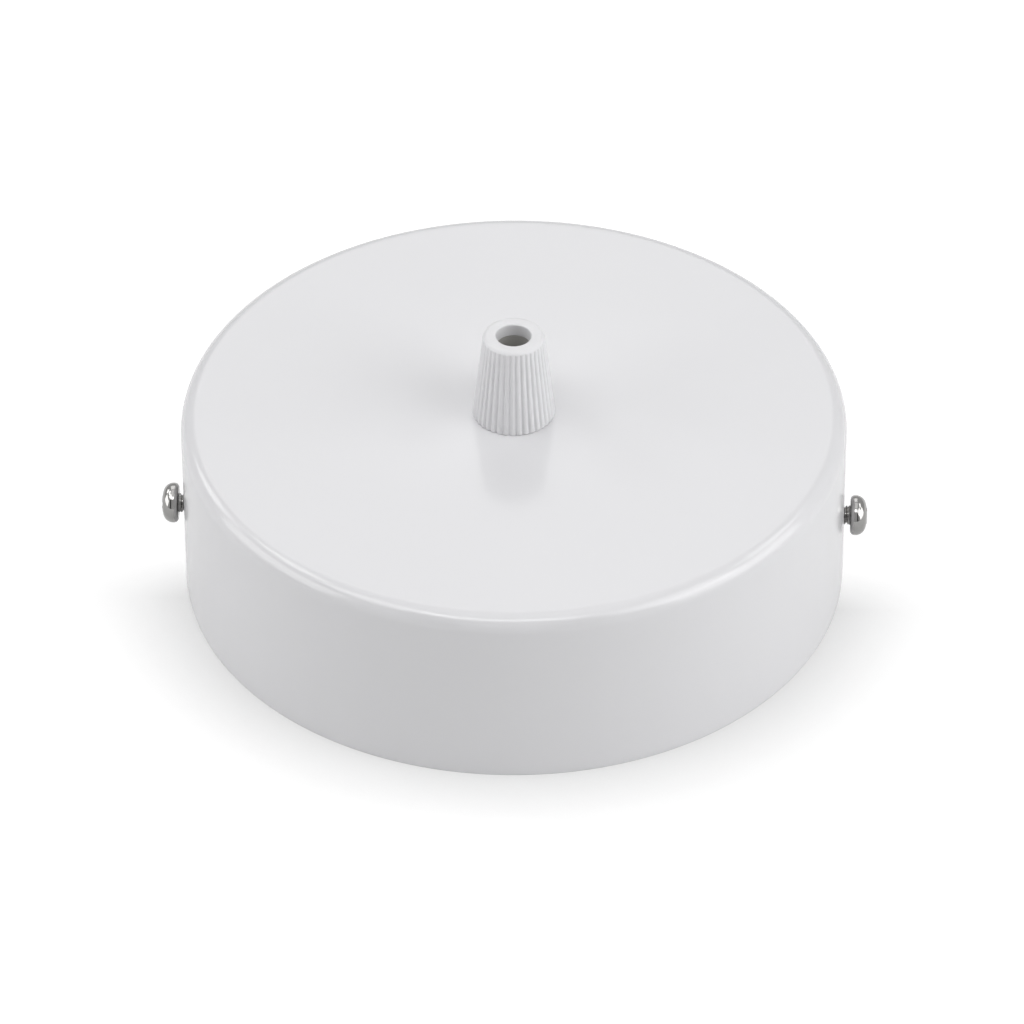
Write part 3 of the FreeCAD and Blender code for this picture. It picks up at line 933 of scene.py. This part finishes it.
def make_world():
    """A white room that gives little light. Metal shows it greyer, with two dark gaps on the front side."""
    world = bpy.data.worlds.new("studio")
    world.use_nodes = True
    world.node_tree.nodes.clear()
    sheet = Sheet(world.node_tree)
    towards = sheet.add("ShaderNodeTexCoord", output="Generated")
    way = sheet.add("ShaderNodeSeparateXYZ", None, {0: towards})
    off_gap = (way.out("X").math("ABSOLUTE") - gap_place).math("ABSOLUTE") - gap_width / 2
    outside = off_gap.math("MAXIMUM", way.out("Y")).math("MAXIMUM", way.out("Z") - gap_top)
    lit = (outside / gap_blur).clamped()
    straight, mirrored = seen_rays(sheet)
    grey = room_fill + straight * (1 - room_fill) + mirrored * (lit * room_in_gloss - room_fill)
    sky = sheet.add("ShaderNodeBackground", None, {"Color": grey, "Strength": 1.0})
    sheet.add("ShaderNodeOutputWorld", None, {"Surface": sky})
    bpy.context.scene.world = world


def outwards(azimuth, elevation):
    """The way from the object to a light or the camera. Azimuth 0 is in front and 90 on the right."""
    a, e = math.radians(azimuth), math.radians(elevation)
    return Vector((math.sin(a) * math.cos(e), -math.cos(a) * math.cos(e), math.sin(e)))


def softbox(name, azimuth, elevation, width, height, luminance):
    """A soft light of a given luminance that faces the object."""
    back = outwards(azimuth, elevation)
    lamp = bpy.data.lights.new(name, "AREA")
    lamp.shape = "RECTANGLE"
    lamp.size, lamp.size_y = width, height
    lamp.energy = luminance * math.pi * width * height
    stand = bpy.data.objects.new(name, lamp)
    stand.location = back * softbox_distance
    stand.rotation_mode = "QUATERNION"
    stand.rotation_quaternion = back.to_track_quat("Z", "Y")
    bpy.context.scene.collection.objects.link(stand)


def make_camera(azimuth, elevation, roll, distance, focal, centre_x, centre_y):
    """A long lens, its focal length in pixels. The rim's centre falls on a given pixel of the picture."""
    back = outwards(azimuth, elevation)
    a, r = math.radians(azimuth), math.radians(roll)
    level = Vector((math.cos(a), math.sin(a), 0.0))
    rise = back.cross(level)
    right = level * math.cos(r) + rise * math.sin(r)
    up = rise * math.cos(r) - level * math.sin(r)
    lens = bpy.data.cameras.new("camera")
    lens.sensor_width = sensor_side
    lens.lens = focal * sensor_side / picture_side
    lens.clip_start, lens.clip_end = 0.05, 20.0
    camera = bpy.data.objects.new("camera", lens)
    aside = (centre_x - picture_side / 2) / focal * distance
    above = (centre_y - picture_side / 2) / focal * distance
    eye = back * distance - right * aside + up * above
    turn = Matrix((right, up, back)).transposed()
    camera.matrix_world = Matrix.Translation(eye) @ turn.to_4x4()
    bpy.context.scene.collection.objects.link(camera)
    bpy.context.scene.camera = camera


make_floor()
make_world()
softbox("overhead_softbox", 180, 84, 0.9, 0.9, 0.72)
softbox("back_softbox", 185, 44, 0.8, 0.7, 1.2)
softbox("front_softbox", 0, 64, 0.8, 0.34, 3.4)
softbox("front_left_softbox", 300, 60, 0.6, 0.5, 2.45)
softbox("front_right_softbox", 60, 42, 0.8, 0.75, 2.15)
softbox("right_softbox", 77, 19, 1.2, 0.8, 2.35)
softbox("right_high_softbox", 112, 46, 0.5, 0.3, 2.4)
softbox("left_softbox", 281, 18, 1.1, 0.75, 2.15)
softbox("left_high_softbox", 252, 55, 0.5, 0.3, 2.9)
softbox("left_back_softbox", 238, 33, 0.4, 0.4, 2.7)
make_camera(azimuth=2.05, elevation=38.45, roll=-0.21, distance=1.3725, focal=7500,
            centre_x=514.36, centre_y=562.32)

bpy.context.scene.view_settings.view_transform = "Standard"
